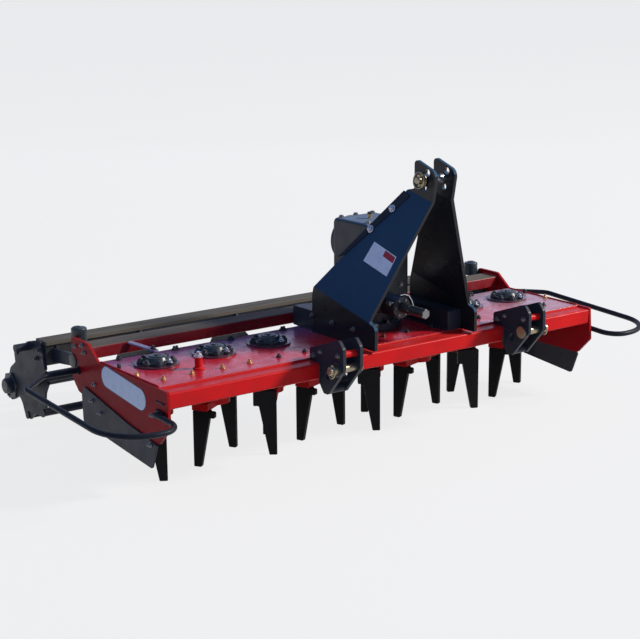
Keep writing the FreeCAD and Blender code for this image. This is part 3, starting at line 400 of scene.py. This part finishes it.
# ---------------------------------------------------------------- small shapes
class Shape:
    """Pieces of one mesh that share a material and a body."""

    def __init__(self):
        self.bm = bmesh.new()

    def lathe(self, place, axis, profile, segments=24, turn=0.0):
        """Revolved (radius, height) profile along an axis; a radius of 0 closes it."""
        axis = Vector(axis).normalized()
        side = axis.orthogonal().normalized()
        across = axis.cross(side)
        rings = []
        for radius, rise in profile:
            centre = Vector(place) + axis * rise * MM
            if radius == 0:
                rings.append([self.bm.verts.new(centre)])
                continue
            ring = []
            for i in range(segments):
                angle = 2 * math.pi * i / segments + turn
                spoke = side * math.cos(angle) + across * math.sin(angle)
                ring.append(self.bm.verts.new(centre + spoke * radius * MM))
            rings.append(ring)
        for below, above in zip(rings, rings[1:]):
            for i in range(segments):
                j = (i + 1) % segments
                corners = [below[i % len(below)], below[j % len(below)],
                           above[j % len(above)], above[i % len(above)]]
                unique = list(dict.fromkeys(corners))
                if len(unique) > 2:
                    self.bm.faces.new(unique)

    def bolt(self, place, axis, head=9.0, turn=0.0, washer=True, tail=0.0):
        """Hexagon head on a washer, with the thread's end above it where there is one."""
        rise = 0.0
        if washer:
            self.lathe(place, axis, [(0, -0.5), (head * 1.32, -0.5), (head * 1.32, 1.6),
                                     (head * 1.25, 2.0), (0, 2.0)])
            rise = 1.9
        top = rise + head * 0.72
        self.lathe(place, axis, [(0, rise), (head, rise), (head * 1.06, rise + 0.6),
                                 (head * 1.06, top - 1.2), (head * 0.88, top), (0, top)], 6, turn)
        if tail:
            end = top + tail
            self.lathe(place, axis, [(head * 0.5, top - 1), (head * 0.55, top),
                                     (head * 0.55, end - 1), (head * 0.42, end), (0, end)], 16)

    def tube(self, points, radius, segments=12, ripple=0.0):
        """Round bar or weld bead along points."""
        points = [Vector(p) for p in points]
        rings = []
        for i, point in enumerate(points):
            ahead = points[min(i + 1, len(points) - 1)]
            behind = points[max(i - 1, 0)]
            way = (ahead - behind).normalized()
            side = way.orthogonal() if not rings else side - way * side.dot(way)
            side.normalize()
            across = way.cross(side)
            r = radius * MM * (1 + ripple * (i % 2))
            ring = []
            for k in range(segments):
                angle = 2 * math.pi * k / segments
                spoke = side * math.cos(angle) + across * math.sin(angle)
                ring.append(self.bm.verts.new(point + spoke * r))
            rings.append(ring)
        for below, above in zip(rings, rings[1:]):
            for k in range(segments):
                j = (k + 1) % segments
                self.bm.faces.new([below[k], below[j], above[j], above[k]])
        self.bm.faces.new(rings[0][::-1])
        self.bm.faces.new(rings[-1])

    def weld(self, start, end, radius=3.5):
        """Rippled bead in a straight line."""
        start, end = Vector(start), Vector(end)
        steps = max(4, int((end - start).length / (3.2 * MM)))
        self.tube([start.lerp(end, i / steps) for i in range(steps + 1)], radius, 8, 0.22)

    def slab(self, corners, thick, normal):
        """Flat plate over a convex outline, rounded a little at its outer edge."""
        normal = Vector(normal).normalized() * thick * MM
        corners = [Vector(c) for c in corners]
        centre = sum(corners, Vector()) / len(corners)
        inset = [c + (centre - c).normalized() * min(0.8, thick * 0.4) * MM for c in corners]
        rings = [[self.bm.verts.new(c) for c in corners],
                 [self.bm.verts.new(c + normal * 0.6) for c in corners],
                 [self.bm.verts.new(c + normal) for c in inset]]
        count = len(corners)
        for below, above in zip(rings, rings[1:]):
            for i in range(count):
                j = (i + 1) % count
                self.bm.faces.new([below[i], below[j], above[j], above[i]])
        self.bm.faces.new(rings[0][::-1])
        self.bm.faces.new(rings[-1])

    def finish(self, name, material, body="frame"):
        """Turn the shape into an object that rides a body."""
        bmesh.ops.recalc_face_normals(self.bm, faces=self.bm.faces)
        for face in self.bm.faces:
            face.smooth = True
        mesh = bpy.data.meshes.new(name)
        self.bm.to_mesh(mesh)
        self.bm.free()
        mesh.set_sharp_from_angle(angle=math.radians(32))
        mesh.materials.append(material)
        made = bpy.data.objects.new(name, mesh)
        bpy.context.scene.collection.objects.link(made)
        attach(made, body)


# ---------------------------------------------------------------- deck
def lobes(number, radius):
    """Numbered places on the lobes of a rotor's cover."""
    return on_circle((rotor_x(number), ROTOR_Y, BOSS_Z + 9 * MM), radius, LOBES, 22.5)


def cover_bolts():
    """A bolt in each lobe of the bearing covers, one of them bright and longer."""
    dark = Shape()
    bright = Shape()
    for number in COVERED:
        for index, place in lobes(number, 53):
            if index == 6:
                bright.bolt(place, Z, 8.0, 0.35 * index, True, 5.0)
            else:
                dark.bolt(place, Z, 8.0, 0.35 * index, True, 3.0)
    dark.finish("cover_bolts", BOLT_BLACK)
    bright.finish("cover_bolts_bright", CHROME)


def cover_crowns():
    """Raised cap in the middle of each cover, and a pip at every lobe."""
    crown = Shape()
    for number in COVERED:
        base = Vector((rotor_x(number), ROTOR_Y, high("bearing_covers").z - 0.5 * MM))
        crown.lathe(base, Z, [(26, 0), (26, 2.2), (24, 3.2), (15, 3.4), (14, 2.2), (0, 2.2)], 32)
        crown.bolt(base + Z * 2 * MM, Z, 6.5, 0.2, False)
        for _, place in lobes(number, 46):
            crown.lathe(place, Z, [(4, -1), (4, 1.2), (3, 2), (0, 2)], 12)
    crown.finish("cover_crowns", DARK)


def deck_bolts():
    """Bolts along the trough's two flanges, and a bolt and a plug beside each end plate."""
    brass = Shape()
    dark = Shape()
    front = TROUGH_FRONT - 42 * MM
    rear = TROUGH_REAR - 14 * MM
    for number in range(1, ROTORS + 1):
        for offset in (-78, 28):
            place = Vector((rotor_x(number) + offset * MM, front, DECK_Z))
            kind = brass if place.x < rotor_x(2) + 40 * MM else dark
            kind.bolt(place, Z, 7.5, 0.3 * number, True, 6.0)
        for offset in (-72, 140):
            spot = rotor_x(number) + offset * MM
            if spot < high("gear_trough").x:
                dark.bolt(Vector((spot, rear, DECK_Z)), Z, 8.0, 0.2 * number, True, 7.0)
    for side in (-1, 1):
        spot = Vector((side * (abs(PLATE_X) - 22 * MM), ROTOR_Y - 82 * MM, DECK_Z))
        brass.bolt(spot, Z, 7.5, 0.5, True, 8.0)
        dark.lathe(spot + Y * 113 * MM, Z, [(7, 0), (7, 13), (5, 16), (0, 16)], 16)
    brass.finish("deck_bolts_brass", BRASS)
    dark.finish("deck_bolts_dark", BOLT_BLACK)


def filler_post():
    """Oil filler: short red neck with a bright vented cap."""
    base = Vector((rotor_x(2) - 144 * MM, TROUGH_FRONT - 2 * MM, DECK_Z))
    neck = Shape()
    neck.lathe(base, Z,
               [(19, -1), (19, 4), (13, 7), (12.5, 34), (14.5, 36), (14.5, 41), (0, 41)], 28)
    neck.finish("filler_neck", RED)
    cap = Shape()
    cap.bolt(base + Z * 41 * MM, Z, 12.0, 0.2, True)
    cap.lathe(base + Z * 51 * MM, Z, [(7, 0), (8, 2), (8, 6), (5, 8), (0, 8)], 20)
    cap.finish("filler_cap", CHROME)


def level_lever():
    """Small flat lever bolted from the rear member down to the deck."""
    x = rotor_x(1) + 24 * MM
    start = Vector((x - 15 * MM, low("rear_member").y - 2 * MM, high("rear_member").z - 6 * MM))
    end = Vector((x + 42 * MM, TROUGH_REAR - 18 * MM, DECK_Z + 9 * MM))
    along = (end - start).normalized()
    side = along.cross(Z).normalized() * 12 * MM
    lever = Shape()
    tip = end + along * 8 * MM
    outline = [start - side, end - side, tip - side * 0.4, tip + side * 0.4, end + side, start + side]
    lever.slab(outline, 5, -along.cross(side))
    lever.finish("level_lever", PALE_BLUE)
    bolt = Shape()
    bolt.bolt(end + Z * 3 * MM - along * 10 * MM, Z, 9.0, 0.2, True, 6.0)
    bolt.lathe(end - along * 10 * MM, -Z, [(9, -2), (9, 9)], 20)
    bolt.finish("level_lever_bolt", BOLT_BLACK)


def deck_welds():
    """Beads where the deck meets the front beam and the end plates."""
    bead = Shape()
    inner = abs(PLATE_X) - PLATE_THICK * MM
    beam_lo, beam_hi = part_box("front_beam")
    member_lo, member_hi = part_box("rear_member")
    seam, beam_top = beam_hi.y + 1 * MM, beam_hi.z + 1 * MM
    bead.weld((-inner + 4 * MM, seam, beam_top), (inner - 4 * MM, seam, beam_top), 3.0)
    for side in (-1, 1):
        x = side * (inner - 1 * MM)
        for start, end, z, radius in (
                (beam_hi.y + 6 * MM, TROUGH_REAR - 4 * MM, DECK_Z + 1 * MM, 3.2),
                (member_lo.y + 4 * MM, member_hi.y - 4 * MM, member_hi.z + 1 * MM, 3.2),
                (beam_lo.y + 8 * MM, beam_hi.y - 4 * MM, beam_top, 3.0)):
            bead.weld((x, start, z), (x, end, z), radius)
    bead.finish("deck_welds", RED)


# ---------------------------------------------------------------- ends
def end_details():
    """Nuts on the towers and deflectors, lug welds and pivot caps on both ends."""
    nuts = Shape()
    dark = Shape()
    bead = Shape()
    tower = high("end_plate_left")
    pivot_y = (low("roller_arm_left").y + high("tower_post_left").y) / 2
    pivot_z = middle("roller_arm_left").z + 15 * MM
    lug_y = ROTOR_Y - 258 * MM
    lug_z = middle("guard_hoop_left").z + 27 * MM
    for side in (-1, 1):
        face = side * abs(PLATE_X)
        outer = face + side * DEFLECTOR_THICK * MM
        out = X * side
        for y, z in ((-27, -27), (-79, -14), (-91, -36)):
            nuts.bolt((face, tower.y + y * MM, tower.z + z * MM), out, 6.5, 0.3, True, 5.0)
        for y, z in ((174, -138), (121, -168), (-206, -194)):
            nuts.bolt((outer, ROTOR_Y + y * MM, DECK_Z + z * MM), out, 6.5, 0.1, True, 5.0)
        for y, z in ((164, -81), (-211, -96)):
            nuts.bolt((face, ROTOR_Y + y * MM, DECK_Z + z * MM), out, 6.5, 0.2, True, 5.0)
        dark.lathe((face, pivot_y, pivot_z), out, [(0, 0), (25, 0), (25, 3), (22, 4), (0, 4)], 28)
        x = face + side * 1 * MM
        bead.weld((x, lug_y - 30 * MM, lug_z), (x, lug_y + 14 * MM, lug_z), 3.0)
    nuts.finish("end_nuts", DULL_ZINC)
    dark.finish("pivot_caps", BOLT_BLACK)
    bead.finish("hoop_welds", BLACK)


def post_caps():
    """Raised cap on each tower's post."""
    for name, side in SIDES:
        post = high("tower_post_" + name)
        top = Vector((side * (abs(PLATE_X) - 33 * MM), post.y - 23 * MM, post.z))
        cap = Shape()
        cap.lathe(top, Z, [(16, -0.5), (16, 1.5), (13, 3), (9, 3), (8, 1.5), (0, 1.5)], 28)
        cap.finish("post_cap_" + name, DARK)


def name_plate():
    """Blank rounded label on the outside of each end plate."""
    layers = (("rim", 38, 0.5, DARK_FILM), ("face", 35, 0.9, WHITE_FILM))
    for name, side in SIDES:
        face = side * abs(PLATE_X)
        start = Vector((face, ROTOR_Y + 75 * MM, DECK_Z - 36 * MM))
        end = Vector((face, ROTOR_Y - 139 * MM, DECK_Z - 61 * MM))
        along = (end - start).normalized()
        up = X.cross(along).normalized()
        for piece, radius, lift, material in layers:
            label = Shape()
            corners = []
            for centre, first in ((end, -90), (start, 90)):
                for step in range(13):
                    angle = math.radians(first + 15 * step)
                    spoke = along * math.cos(angle) + up * math.sin(angle)
                    corners.append(centre + spoke * radius * MM)
            label.slab(corners, lift, X * side)
            label.finish("end_label_%s_%s" % (piece, name), material)


# ---------------------------------------------------------------- headstock
def web_frame(side):
    """Corner, width direction and normal of a mast plate's leaning web, seen from outside."""
    node = "mast_plate_left" if side < 0 else "mast_plate_right"
    lo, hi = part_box(node)
    foot_x = lo.x if side < 0 else hi.x
    ear_x = hi.x - MAST_THICK * MM if side < 0 else lo.x + MAST_THICK * MM
    lean = Vector((ear_x - foot_x, 0, WEB_RISE * MM))
    fall = Vector((0, -1, -WEB_FALL))
    normal = lean.cross(fall).normalized()
    if normal.x * side < 0:
        normal = -normal
    origin = Vector((foot_x, ROTOR_Y, WEB_FOOT * MM))
    return origin, lean.normalized(), fall.normalized(), normal


def on_web(side, up, forward):
    """A point on the web's outer face: up the lean and forward along the bend line, in mm."""
    origin, lean, fall = web_frame(side)[:3]
    return origin + lean * up * MM + fall * forward * MM


def mast_details():
    """Flat flange bolted along the rear edge of each web."""
    flange = Shape()
    bright = Shape()
    for side in (-1, 1):
        normal = web_frame(side)[3]
        outline = ((142, 48), (160, 74), (454, 296), (460, 262))
        flange.slab([on_web(side, *corner) for corner in outline], 5, normal)
        for up, forward in ((286, 164), (386, 236)):
            bright.bolt(on_web(side, up, forward) + normal * 5 * MM, normal, 10.0, 0.4, True, 5.0)
    flange.finish("mast_flanges", BLACK)
    bright.finish("mast_bolts", CHROME)


def web_label():
    """Blank notice with a plain red band on each web."""
    outline = ((254, 196), (248, 322), (172, 305), (176, 172))
    band_outline = ((248, 262), (244, 318), (222, 313), (226, 257))
    for name, side in SIDES:
        normal = web_frame(side)[3]
        face = Shape()
        face.slab([on_web(side, *corner) for corner in outline], 0.6, normal)
        face.finish("notice_" + name, WHITE_FILM)
        band = Shape()
        lift = normal * 0.6 * MM
        band.slab([on_web(side, *corner) + lift for corner in band_outline], 0.3, normal)
        band.finish("notice_band_" + name, RED_FILM)


def foot_bolts():
    """Bolts that hold the mast plates' feet to the rails, and the rails' welds."""
    dull = Shape()
    for side in (-1, 1):
        face = low("mast_plate_left").x if side < 0 else high("mast_plate_right").x
        for y, z in ((38, -12), (-80, -16), (-200, -16)):
            dull.bolt((face, ROTOR_Y + y * MM, RAIL_Z + z * MM), X * side, 8.0, 0.25, True, 6.0)
    dull.finish("mast_foot_bolts", STEEL)
    bead = Shape()
    for name in ("left", "right"):
        lo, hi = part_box("mast_rail_" + name)
        for x in (lo.x, hi.x):
            bead.weld((x, lo.y + 4 * MM, DECK_Z + 1 * MM),
                      (x, TROUGH_REAR - 4 * MM, DECK_Z + 1 * MM), 3.5)
    bead.finish("rail_welds", BLACK)


def top_link_details():
    """Washer, hanging ring, clip and bushing at the top pin."""
    tip = low("top_link_pin").x
    y, z = middle("top_link_pin").y, middle("top_link_pin").z
    bright = Shape()
    bright.lathe((tip + 27 * MM, y, z), -X, [(13.2, 0), (23, 0), (23, 3), (13.2, 3)], 32)
    bright.tube(ring_points((tip + 10 * MM, y, z), 4, 26, 27), 2.6, 10)
    bright.lathe((tip + 12 * MM, y, z + 20 * MM), -Z,
                 [(0, 0), (6.5, 0), (6.5, 7), (4, 8), (4, 40), (0, 42)], 16)
    bright.finish("top_pin_clip", ZINC)
    left = high("mast_plate_left").x
    gap = (low("mast_plate_right").x - left) / MM
    bushing = Shape()
    bushing.lathe((left, y, z), X, [(12.9, 0), (17, 0), (17, gap)], 32)
    bushing.finish("top_pin_bushing", CHROME)


# ---------------------------------------------------------------- gearbox
def gearbox_details():
    """Breather, and the bolts of the neck flange, rear cover, top and input flange."""
    top = high("gearbox").z
    breather = Shape()
    base = Vector((HITCH.x - 8 * MM, ROTOR_Y - 8 * MM, top))
    breather.lathe(base, Z, [(9, -1), (9, 3), (5.5, 4), (5.5, 9)], 6)
    breather.lathe(base + Z * 9 * MM, Z, [(5.5, 0), (7.5, 1), (7.5, 7), (5, 8), (0, 8)], 24)
    breather.finish("breather", BRASS)
    cap = Shape()
    cap.lathe(base + Z * 16 * MM, Z, [(4, 0), (9, 1), (9, 6), (6, 8), (0, 8)], 24)
    cap.finish("breather_cap", BOLT_BLACK)
    bolts = Shape()
    for i, place in on_circle((HITCH.x, ROTOR_Y, DECK_Z + 24 * MM), 99, 10, 18):
        bolts.bolt(place, Z, 9.0, 0.3 * i, True, 6.0)
    cover = (HITCH.x, high("gearbox_cover").y - 4.5 * MM, middle("gearbox_cover").z)
    for i, place in on_circle(cover, 72, 8, 22.5, X, Z):
        bolts.bolt(place, Y, 8.0, 0.3 * i, True)
    for x, y in ((-70, -80), (70, -80), (-70, 76), (70, 76), (0, -88), (0, 84)):
        bolts.bolt((HITCH.x + x * MM, ROTOR_Y + y * MM, top), Z, 8.0, 0.1 * x, True)
    flange = (HITCH.x, ROTOR_Y + INPUT_FACE * MM, middle("pto_shaft").z + 32 * MM)
    for i, place in on_circle(flange, 62, 6, 30, X, Z):
        bolts.bolt(place, -Y, 8.0, 0.3 * i, True)
    bolts.finish("gearbox_bolts", STEEL)


def shaft_guard():
    """Bright strip bent over the input boss, a ball-ended stay and the boss's bolts."""
    boss = Vector((HITCH.x, ROTOR_Y + BOSS_TIP * MM, middle("pto_shaft").z))
    strip = Shape()
    way = [(-6, 10, 46), (14, 8, 47), (30, 6, 40), (42, 4, 22), (50, 2, -4), (66, 0, -14)]
    points = [boss + Vector(p) * MM for p in way]
    for a, b in zip(points, points[1:]):
        along = (b - a).normalized()
        up = along.cross(Y).normalized()
        half = Y * 9 * MM
        strip.slab([a - half, b - half, b + half, a + half], 3, -up)
    strip.finish("guard_strip", CHROME)
    stay = Shape()
    stay.lathe(boss + Vector((-38, 4, 22)) * MM, -X,
               [(5, 0), (5, 10), (9, 12), (11, 18), (9, 24), (4, 27), (0, 27)], 20)
    for i, place in on_circle(boss, 29, 6, 0, X, Z):
        stay.bolt(place, -Y, 5.5, 0.2 * i, False)
    stay.finish("guard_stay", STEEL)


# ---------------------------------------------------------------- lower hitch
def clevis_details():
    """Washers, bolts, welds, and the ring and clip on each lower pin."""
    bright = Shape()
    steel = Shape()
    dark = Shape()
    bead = Shape()
    for name, side in SIDES:
        lo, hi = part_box("lower_clevis_" + name)
        pin = middle("lower_pin_" + name)
        for face, out in ((lo.x, -X), (hi.x, X)):
            dark.lathe((face, pin.y, pin.z), out,
                       [(14.6, 0), (25, 0), (25, 3), (23, 4), (14.6, 4)], 32)
            steel.bolt((face, pin.y - 5 * MM, pin.z + 48 * MM), out, 7.5, 0.3, True, 4.0)
            steel.bolt((face, hi.y - 22 * MM, hi.z - 76 * MM), out, 8.5, 0.3, True, 6.0)
            steel.bolt((face, hi.y - 60 * MM, hi.z - 56 * MM), out, 7.0, 0.3, True, 4.0)
            x = face + out.x * 1 * MM
            bead.weld((x, hi.y - 56 * MM, lo.z + 30 * MM), (x, hi.y - 56 * MM, lo.z + 94 * MM), 3.0)
        tip = low("lower_pin_left").x if side < 0 else high("lower_pin_right").x
        centre = (tip - side * 12 * MM, pin.y, pin.z - 4 * MM)
        bright.tube(ring_points(centre, -side * 3, 17, 20), 2.3, 10)
        bright.lathe((tip - side * 13 * MM, pin.y, pin.z + 20 * MM), -Z,
                     [(0, 0), (5, 0), (5, 6), (3.5, 7), (3.5, 38), (0, 40)], 16)
    bright.finish("lower_pin_clips", ZINC)
    steel.finish("clevis_bolts", STEEL)
    dark.finish("clevis_washers", BOLT_BLACK)
    bead.finish("clevis_welds", BLACK)


# ---------------------------------------------------------------- rotors
def holder_way(number):
    """Direction from a rotor's axis along its tine holder."""
    hub = Vector((rotor_x(number), ROTOR_Y, 0))
    points = [Vector((v.co.x, v.co.y, 0)) - hub for v in NODES["rotor_%d" % number].data.vertices]
    outer = [p for p in points if p.length > 90 * MM]
    return sum((p for p in outer if p.dot(outer[0]) > 0), Vector()).normalized()


def rotor_bolts():
    """Two bolts through the holder over each tine's foot."""
    top = low("rotor_1").z + HOLDER_HEIGHT * MM
    for number in range(1, ROTORS + 1):
        way = holder_way(number)
        side = way.cross(Z)
        hub = Vector((rotor_x(number), ROTOR_Y, top))
        bolts = Shape()
        for end in (-1, 1):
            for across in (-14, 14):
                place = hub + way * end * 84 * MM + side * across * MM
                bolts.bolt(place, Z, 7.5, 0.4, True, 4.0)
        material = BRASS if number == 2 else BOLT_BLACK
        bolts.finish("rotor_bolts_%d" % number, material, "rotor_%d_body" % number)


def housing_bolts():
    """Bolts under the bearing housings' flanges."""
    bolts = Shape()
    z = high("rotor_housings").z - HOUSING_FLANGE * MM
    for number in range(1, ROTORS + 1):
        for _, place in on_circle((rotor_x(number), ROTOR_Y, z), 75, 6, 15):
            bolts.bolt(place, -Z, 7.5, 0.4, True, 3.0)
    bolts.finish("housing_bolts", BOLT_BLACK)


# ---------------------------------------------------------------- roller
def roller_details():
    """Bearing flanges and their bolts, the strip's bolts and the arms' welds."""
    bolts = Shape()
    bead = Shape()
    dark = Shape()
    beam_lo, beam_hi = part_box("roller_beam")
    for name, side in SIDES:
        bearing = middle("roller_bearing_" + name)
        outer = high("roller_bearing_left").x if side < 0 else low("roller_bearing_right").x
        hub = (outer, bearing.y, bearing.z)
        for _, place in on_circle(hub, 40, 4, 20, Y, Z):
            bolts.bolt(place, X * side, 7.5, 0.3, True, 4.0)
        dark.lathe(hub, X * side, [(28, 0), (52, 0), (52, 4), (50, 6), (28, 6)], 6)
        for y, z in ((26, -32), (54, -66)):
            place = (outer, beam_lo.y + y * MM, beam_hi.z + z * MM)
            bolts.bolt(place, X * side, 8.0, 0.3, True, 6.0)
        arm_lo, arm_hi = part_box("roller_arm_" + name)
        x = (arm_hi.x if side < 0 else arm_lo.x) - side * 1 * MM
        y = arm_hi.y - 2 * MM
        bead.weld((x, y, arm_lo.z + 5 * MM), (x, y, arm_hi.z - 5 * MM), 3.5)
    bolts.finish("roller_bolts", BOLT_BLACK, "roller_frame")
    dark.finish("bearing_flanges", DARK, "roller_frame")
    bead.finish("roller_arm_welds", BLACK, "roller_frame")


dress_nodes()
cover_bolts()
cover_crowns()
deck_bolts()
filler_post()
level_lever()
deck_welds()
end_details()
post_caps()
name_plate()
mast_details()
web_label()
foot_bolts()
top_link_details()
gearbox_details()
shaft_guard()
clevis_details()
rotor_bolts()
housing_bolts()
roller_details()


# ---------------------------------------------------------------- floor, light and camera
def floor():
    """Pale ground that looks near white and still takes the shadow."""
    bpy.ops.mesh.primitive_plane_add(size=3000)
    plane = bpy.context.object
    plane.name = "floor"
    m = Mat("floor")
    m.shader.inputs["Base Color"].default_value = (0.45, 0.45, 0.46, 1)
    m.shader.inputs["Roughness"].default_value = 0.9
    glow = m.node("ShaderNodeEmission")
    glow.inputs["Color"].default_value = (1, 1, 1, 1)
    mixed = m.node("ShaderNodeMixShader")
    path = m.node("ShaderNodeLightPath")
    seen = m.maths("MAXIMUM", path.outputs["Is Camera Ray"], path.outputs["Is Glossy Ray"])
    seen = m.maths("MAXIMUM", seen, path.outputs["Is Transmission Ray"])
    m.link(m.maths("MULTIPLY", seen, 0.8), mixed.inputs[0])
    m.link(m.shader.outputs[0], mixed.inputs[1])
    m.link(glow.outputs[0], mixed.inputs[2])
    m.link(mixed.outputs[0], m.tree.nodes["Material Output"].inputs["Surface"])
    plane.data.materials.append(m.material)


def world():
    made = bpy.data.worlds.new("sky")
    made.use_nodes = True
    background = made.node_tree.nodes["Background"]
    background.inputs["Color"].default_value = (0.37, 0.55, 1.0, 1)
    background.inputs["Strength"].default_value = 0.43
    bpy.context.scene.world = made


def area_light(name, place, target, size, power, color):
    data = bpy.data.lights.new(name, "AREA")
    data.energy = power
    data.shape = "RECTANGLE"
    data.size, data.size_y = size
    data.color = color
    lamp = bpy.data.objects.new(name, data)
    bpy.context.scene.collection.objects.link(lamp)
    lamp.location = place
    lamp.rotation_euler = (Vector(target) - Vector(place)).to_track_quat("-Z", "Y").to_euler()
    lamp.visible_camera = False


def camera():
    """Seen from the front left corner, a little above the headstock."""
    azimuth, elevation, roll = (math.radians(a) for a in (-36.224, 13.626, -0.4615))
    back = Vector((math.sin(azimuth) * math.cos(elevation),
                   -math.cos(azimuth) * math.cos(elevation), math.sin(elevation)))
    right = Vector((math.cos(azimuth), math.sin(azimuth), 0))
    up = back.cross(right)
    right_rolled = right * math.cos(roll) + up * math.sin(roll)
    up_rolled = up * math.cos(roll) - right * math.sin(roll)
    data = bpy.data.cameras.new("camera")
    data.lens = 88.5
    data.sensor_width = 36
    cam = bpy.data.objects.new("camera", data)
    bpy.context.scene.collection.objects.link(cam)
    turn = Matrix((right_rolled, up_rolled, back)).transposed().to_4x4()
    place = (-3.29165, ROTOR_Y - 4.3394, 1.718)
    cam.matrix_world = Matrix.Translation(place) @ turn
    bpy.context.scene.camera = cam


floor()
world()
area_light("key", (12.0, -8.6, 9.3), (0, -0.1, 0.35), (2.6, 2.6), 3300, (1, 0.93, 0.84))
area_light("sheen", (4.6, 6.4, 2.1), (0, 0, 0.4), (6.0, 1.8), 30, (0.8, 0.78, 1.0))
camera()
bpy.context.scene.view_settings.view_transform = "Standard"
